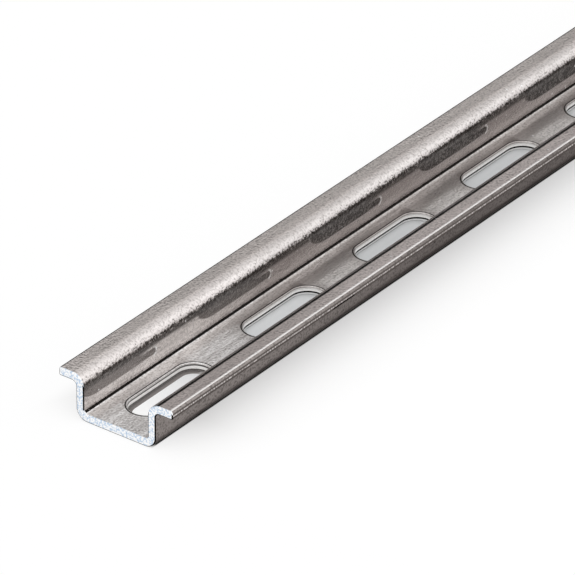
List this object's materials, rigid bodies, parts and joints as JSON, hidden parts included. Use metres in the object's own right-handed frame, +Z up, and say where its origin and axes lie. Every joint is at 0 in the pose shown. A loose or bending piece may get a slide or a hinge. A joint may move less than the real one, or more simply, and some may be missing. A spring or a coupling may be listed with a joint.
{
  "type": "slotted top-hat din rail",
  "caption": "Straight length of slotted top-hat mounting rail in zinc-plated steel, small section with outward lips, for clipping devices on in an enclosure.",
  "frame": {"origin": "underside of the base, halfway along the bar, on the middle line of the section", "axes": "+X along the bar, +Y across it, +Z up from the base to the lips"},
  "size_m": [1, 0.015, 0.0055],
  "materials": {
    "rail": "zinc plated, satin"
  },
  "bodies": {
    "root": {"rail": "rail"}
  },
  "joints": []
}
